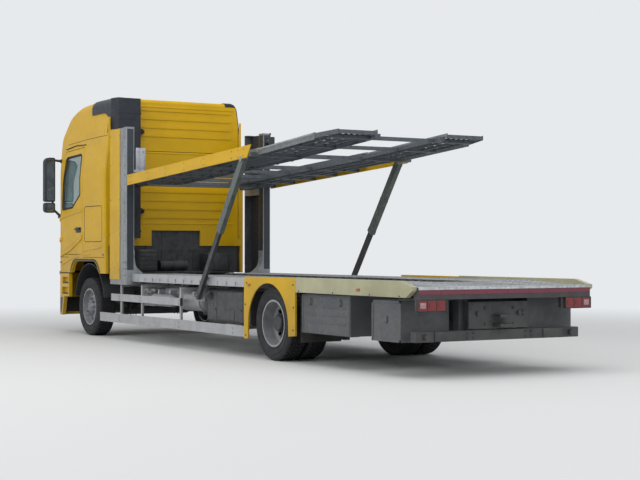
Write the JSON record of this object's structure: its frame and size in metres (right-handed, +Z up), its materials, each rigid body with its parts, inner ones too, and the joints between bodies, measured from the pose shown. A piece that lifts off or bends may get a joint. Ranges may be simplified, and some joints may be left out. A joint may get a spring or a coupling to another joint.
{
  "type": "car transporter truck",
  "caption": "Two-axle rigid car transporter truck with a tall sleeper cab, low loading deck, guide posts and a tilting upper deck held by telescopic struts.",
  "frame": {"origin": "on the ground under the middle of the whole vehicle, mirrors included", "axes": "+X forward, +Y to the left of the vehicle, +Z up"},
  "size_m": [11.02, 2.9872, 3.893],
  "materials": {
    "cab_yellow": "gloss",
    "trim_cream": "semi-gloss",
    "chassis_black": "satin",
    "plastic_black": "matte",
    "galvanised": "satin",
    "deck_grey": "satin",
    "silver": "satin",
    "wheel_silver": "satin",
    "tyre": "matte",
    "glass": "clear",
    "lamp_clear": "clear",
    "lamp_red": "gloss",
    "seat_cloth": "matte",
    "beam_red": "semi-gloss"
  },
  "bodies": {
    "chassis": {"cab_shell": "cab_yellow", "bumper": "cab_yellow", "post_covers": "cab_yellow", "rear_fenders": "cab_yellow", "deck_side_trims": "trim_cream", "chassis_frame": "chassis_black", "front_axle": "chassis_black", "rear_axle": "chassis_black", "drive_shaft": "chassis_black", "engine": "chassis_black", "fuel_tanks": "chassis_black", "tow_coupling": "chassis_black", "roof_trim": "plastic_black", "grille": "plastic_black", "mirrors": "plastic_black", "front_mudguards": "plastic_black", "dashboard": "plastic_black", "guide_posts": "deck_grey", "lower_deck_frame": "deck_grey", "storage_boxes": "deck_grey", "lower_deck_plates": "galvanised", "deck_side_rails": "silver", "side_guards": "silver", "air_tanks": "silver", "windscreen": "glass", "headlamps": "lamp_clear", "tail_lamps": "lamp_red", "seats": "seat_cloth", "rear_beam": "beam_red", "underrun_guard": "chassis_black"},
    "knuckle_left": {"knuckle_left": "chassis_black"},
    "knuckle_right": {"knuckle_right": "chassis_black"},
    "front_wheel_left": {"front_tyre_left": "tyre", "front_rim_left": "wheel_silver"},
    "front_wheel_right": {"front_tyre_right": "tyre", "front_rim_right": "wheel_silver"},
    "rear_wheels_left": {"rear_tyres_left": "tyre", "rear_rims_left": "wheel_silver"},
    "rear_wheels_right": {"rear_tyres_right": "tyre", "rear_rims_right": "wheel_silver"},
    "cab_door_left": {"door_left": "cab_yellow", "door_glass_left": "glass"},
    "cab_door_right": {"door_right": "cab_yellow", "door_glass_right": "glass"},
    "box_door_left": {"box_door_left": "deck_grey"},
    "box_door_right": {"box_door_right": "deck_grey"},
    "carriage": {"upper_carriage": "deck_grey"},
    "upper_deck": {"upper_deck_beams": "cab_yellow", "upper_deck_frame": "deck_grey", "upper_deck_tracks": "galvanised"},
    "strut_tube_left": {"strut_tube_left": "chassis_black"},
    "strut_tube_right": {"strut_tube_right": "chassis_black"},
    "strut_sleeve_left": {"strut_sleeve_left": "galvanised"},
    "strut_sleeve_right": {"strut_sleeve_right": "galvanised"}
  },
  "joints": [
    {"name": "steer_left", "type": "hinge", "parent": "chassis", "child": "knuckle_left", "pos_m": [4.07, 0.8, 0.475], "axis": [0, 0, 1], "range_deg": [-38, 38]},
    {"name": "front_wheel_spin_left", "type": "hinge", "parent": "knuckle_left", "child": "front_wheel_left", "pos_m": [4.07, 1.0525, 0.475], "axis": [0, 1, 0], "continuous": true},
    {"name": "rear_wheels_spin_left", "type": "hinge", "parent": "chassis", "child": "rear_wheels_left", "pos_m": [-2.23, 0.909, 0.475], "axis": [0, 1, 0], "continuous": true},
    {"name": "cab_door_swing_left", "type": "hinge", "parent": "chassis", "child": "cab_door_left", "pos_m": [5.27, 1.252, 2.2], "axis": [0, 0, -1], "range_deg": [0, 75]},
    {"name": "box_door_drop_left", "type": "hinge", "parent": "chassis", "child": "box_door_left", "pos_m": [-3.555, 1.205, 0.4], "axis": [-1, 0, 0], "range_deg": [0, 95]},
    {"name": "strut_swing_left", "type": "hinge", "parent": "chassis", "child": "strut_tube_left", "pos_m": [-0.13, 1.222, 0.76], "axis": [0, 1, 0], "range_deg": [-19.4, 7]},
    {"name": "strut_extend_left", "type": "slide", "parent": "strut_tube_left", "child": "strut_sleeve_left", "axis": [-0.5923, 0, 0.8057], "range_m": [-0.645, 0.235]},
    {"name": "steer_right", "type": "hinge", "parent": "chassis", "child": "knuckle_right", "pos_m": [4.07, -0.8, 0.475], "axis": [0, 0, 1], "range_deg": [-38, 38]},
    {"name": "front_wheel_spin_right", "type": "hinge", "parent": "knuckle_right", "child": "front_wheel_right", "pos_m": [4.07, -1.0525, 0.475], "axis": [0, 1, 0], "continuous": true},
    {"name": "rear_wheels_spin_right", "type": "hinge", "parent": "chassis", "child": "rear_wheels_right", "pos_m": [-2.23, -0.909, 0.475], "axis": [0, 1, 0], "continuous": true},
    {"name": "cab_door_swing_right", "type": "hinge", "parent": "chassis", "child": "cab_door_right", "pos_m": [5.27, -1.252, 2.2], "axis": [0, 0, 1], "range_deg": [0, 75]},
    {"name": "box_door_drop_right", "type": "hinge", "parent": "chassis", "child": "box_door_right", "pos_m": [-3.555, -1.205, 0.4], "axis": [1, 0, 0], "range_deg": [0, 95]},
    {"name": "strut_swing_right", "type": "hinge", "parent": "chassis", "child": "strut_tube_right", "pos_m": [-0.13, -1.222, 0.76], "axis": [0, 1, 0], "range_deg": [-19.4, 7]},
    {"name": "strut_extend_right", "type": "slide", "parent": "strut_tube_right", "child": "strut_sleeve_right", "axis": [-0.5923, 0, 0.8057], "range_m": [-0.645, 0.235]},
    {"name": "front_lift", "type": "slide", "parent": "chassis", "child": "carriage", "axis": [0, 0, 1], "range_m": [-0.7, 0.25]},
    {"name": "deck_tilt", "type": "hinge", "parent": "carriage", "child": "upper_deck", "pos_m": [2.72, 0, 2.47], "axis": [0, 1, 0], "range_deg": [-3, 1.5]}
  ],
  "couplings": [
    {"joint": "steer_right", "follows": "steer_left", "ratio": 1},
    {"joint": "strut_swing_left", "follows": "front_lift", "rad_per_m": 0.47872},
    {"joint": "strut_extend_left", "follows": "front_lift", "ratio": 0.91429},
    {"joint": "strut_swing_right", "follows": "front_lift", "rad_per_m": 0.47872},
    {"joint": "strut_extend_right", "follows": "front_lift", "ratio": 0.91429}
  ]
}
